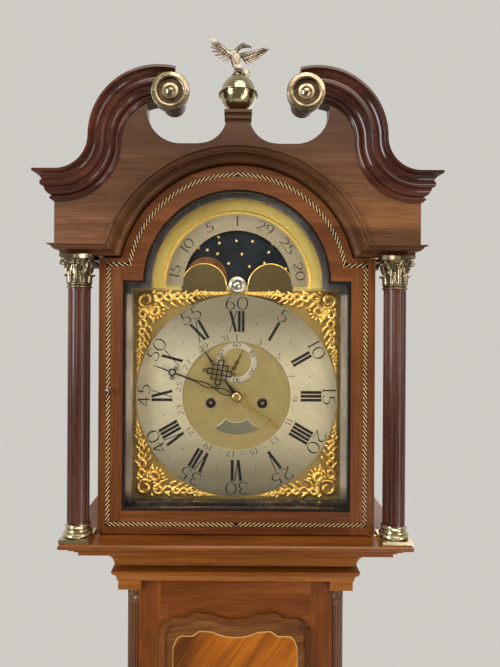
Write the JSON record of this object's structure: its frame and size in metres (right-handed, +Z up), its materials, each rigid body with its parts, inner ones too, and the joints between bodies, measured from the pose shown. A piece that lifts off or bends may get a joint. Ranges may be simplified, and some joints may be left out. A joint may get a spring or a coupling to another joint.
{
  "type": "longcase clock",
  "caption": "Weight-driven longcase clock with a swan-neck hood, break-arch moon dial, hinged doors, sliding hood and a seconds pendulum.",
  "frame": {"origin": "centre of the footprint on the floor", "axes": "+Z up; +Y towards the backboard and the wall; +X towards the viewer's right"},
  "size_m": [0.582, 0.294, 2.2865],
  "materials": {
    "case_mahogany": "satin french polish",
    "column_mahogany": "glossy plum-dark polish",
    "hood_mahogany": "satin french polish",
    "swan_mahogany": "glossy dark red polish",
    "door_mahogany": "flame veneer under french polish",
    "lip_mahogany": "satin french polish",
    "oak_board": "unpolished oak",
    "dark_mask": "dark stained, waxed",
    "ebonised_bead": "ebonised, glossy",
    "window_glass": "clear",
    "dial_brass": "brushed and lacquered, matted in the centre",
    "silvered_ring": "silvered brass with black wax engraving",
    "silvered_small": "silvered brass",
    "gilt": "cast and gilded",
    "silver_button": "polished",
    "moon_enamel": "painted night sky with gold stars",
    "blued_steel": "blued nearly black",
    "clock_brass": "polished",
    "calendar_brass": "polished",
    "clock_steel": "bright steel",
    "bell_metal": "turned bell metal",
    "cock_brass": "polished",
    "antique_brass": "pale antique",
    "furniture_brass": "polished",
    "bob_brass": "polished",
    "weight_brass": "polished brass case over lead",
    "gut": "natural gut, tanned"
  },
  "bodies": {
    "case": {"backboard": "oak_board", "base_carcass": "case_mahogany", "bracket_feet": "case_mahogany", "base_moulding": "case_mahogany", "trunk_cheeks": "case_mahogany", "trunk_front_frame": "case_mahogany", "quarter_columns": "column_mahogany", "trunk_top_moulding": "case_mahogany", "trunk_hinges": "furniture_brass", "seatboard": "oak_board", "movement_frame": "clock_brass", "dial_plate": "dial_brass", "chapter_ring": "silvered_ring", "seconds_ring": "silvered_small", "lunar_ring": "silvered_ring", "dial_plaque": "silvered_small", "spandrels": "gilt", "moon_boss": "silver_button", "pendulum_cock": "cock_brass", "bell": "bell_metal", "going_line": "gut", "strike_line": "gut"},
    "hood": {"hood_base_frame": "hood_mahogany", "hood_sides": "hood_mahogany", "hood_side_windows": "window_glass", "hood_top": "hood_mahogany", "cornice_moulding": "hood_mahogany", "swan_necks": "swan_mahogany", "rosettes": "antique_brass", "hood_columns": "column_mahogany", "column_capitals": "antique_brass", "column_bases": "antique_brass", "dial_mask": "dark_mask", "finial_ball": "antique_brass", "finial_eagle": "antique_brass"},
    "hood_door": {"hood_door_frame": "hood_mahogany", "hood_door_glass": "window_glass", "hood_door_bead": "ebonised_bead", "hood_door_knob": "furniture_brass", "hood_door_pivots": "furniture_brass"},
    "trunk_door": {"trunk_door": "door_mahogany", "trunk_door_lip": "lip_mahogany", "trunk_door_lock": "furniture_brass"},
    "minute_arbor": {"minute_hand": "blued_steel", "centre_wheel": "clock_brass"},
    "hour_arbor": {"hour_hand": "blued_steel", "hour_wheel": "clock_brass"},
    "calendar_wheel": {"calendar_hand": "calendar_brass"},
    "minute_wheel": {"minute_wheel": "clock_brass"},
    "third_arbor": {"third_wheel": "clock_brass"},
    "escape_arbor": {"escape_wheel": "clock_brass", "seconds_hand": "blued_steel"},
    "going_barrel": {"going_barrel": "clock_brass"},
    "strike_barrel": {"strike_barrel": "clock_brass"},
    "anchor": {"anchor": "clock_steel"},
    "pendulum": {"pendulum": "bob_brass"},
    "bell_hammer": {"bell_hammer": "clock_steel"},
    "moon_disc": {"moon_disc": "moon_enamel"},
    "going_weight": {"going_weight": "weight_brass"},
    "strike_weight": {"strike_weight": "weight_brass"}
  },
  "joints": [
    {"name": "hood_slide", "type": "slide", "parent": "case", "child": "hood", "axis": [0, -1, 0], "range_m": [0, 0.28]},
    {"name": "hood_door_hinge", "type": "hinge", "parent": "hood", "child": "hood_door", "pos_m": [0.211, -0.086, 1.74], "axis": [0, 0, 1], "range_deg": [0, 85]},
    {"name": "trunk_door_hinge", "type": "hinge", "parent": "case", "child": "trunk_door", "pos_m": [0.123, -0.0484, 1], "axis": [0, 0, 1], "range_deg": [0, 110]},
    {"name": "minute_spin", "type": "hinge", "parent": "case", "child": "minute_arbor", "pos_m": [0, -0.003, 1.7455], "axis": [0, 1, 0], "continuous": true},
    {"name": "hour_spin", "type": "hinge", "parent": "case", "child": "hour_arbor", "pos_m": [0, -0.033, 1.7455], "axis": [0, 1, 0], "continuous": true},
    {"name": "calendar_spin", "type": "hinge", "parent": "case", "child": "calendar_wheel", "pos_m": [0, -0.038, 1.7455], "axis": [0, 1, 0], "continuous": true},
    {"name": "minute_wheel_spin", "type": "hinge", "parent": "case", "child": "minute_wheel", "pos_m": [0, -0.016, 1.7221], "axis": [0, 1, 0], "continuous": true},
    {"name": "third_spin", "type": "hinge", "parent": "case", "child": "third_arbor", "pos_m": [0.00885, 0.036, 1.773], "axis": [0, 1, 0], "continuous": true},
    {"name": "seconds_spin", "type": "hinge", "parent": "case", "child": "escape_arbor", "pos_m": [0, 0.02, 1.7983], "axis": [0, 1, 0], "continuous": true},
    {"name": "going_barrel_spin", "type": "hinge", "parent": "case", "child": "going_barrel", "pos_m": [0.041, 0.027, 1.7337], "axis": [0, 1, 0], "continuous": true},
    {"name": "strike_barrel_spin", "type": "hinge", "parent": "case", "child": "strike_barrel", "pos_m": [-0.041, 0.027, 1.7337], "axis": [0, 1, 0], "continuous": true},
    {"name": "pendulum_swing", "type": "hinge", "parent": "case", "child": "pendulum", "pos_m": [0, 0.085, 1.8253], "axis": [0, 1, 0], "range_deg": [-2.5, 2.5]},
    {"name": "anchor_rock", "type": "hinge", "parent": "case", "child": "anchor", "pos_m": [0, 0.02, 1.8253], "axis": [0, 1, 0], "range_deg": [-2.5, 2.5]},
    {"name": "hammer_swing", "type": "hinge", "parent": "case", "child": "bell_hammer", "pos_m": [-0.052, 0.027, 1.8155], "axis": [0, 1, 0], "range_deg": [-14, 6], "stiffness_Nm_per_rad": 0.15},
    {"name": "moon_spin", "type": "hinge", "parent": "case", "child": "moon_disc", "pos_m": [0, -0.038, 1.922], "axis": [0, 1, 0], "continuous": true},
    {"name": "going_weight_slide", "type": "slide", "parent": "case", "child": "going_weight", "axis": [0, 0, 1], "range_m": [0, 0.75], "deforming": ["going_line"]},
    {"name": "strike_weight_slide", "type": "slide", "parent": "case", "child": "strike_weight", "axis": [0, 0, 1], "range_m": [0, 0.75], "deforming": ["strike_line"]}
  ],
  "couplings": [
    {"joint": "hour_spin", "follows": "minute_spin", "ratio": 0.083333},
    {"joint": "calendar_spin", "follows": "minute_spin", "ratio": 0.0013441},
    {"joint": "minute_wheel_spin", "follows": "minute_spin", "ratio": -1},
    {"joint": "third_spin", "follows": "minute_spin", "ratio": -7.5},
    {"joint": "seconds_spin", "follows": "minute_spin", "ratio": 60},
    {"joint": "going_barrel_spin", "follows": "minute_spin", "ratio": -0.083333},
    {"joint": "moon_spin", "follows": "minute_spin", "ratio": 0.00070621},
    {"joint": "anchor_rock", "follows": "pendulum_swing", "ratio": 1}
  ]
}
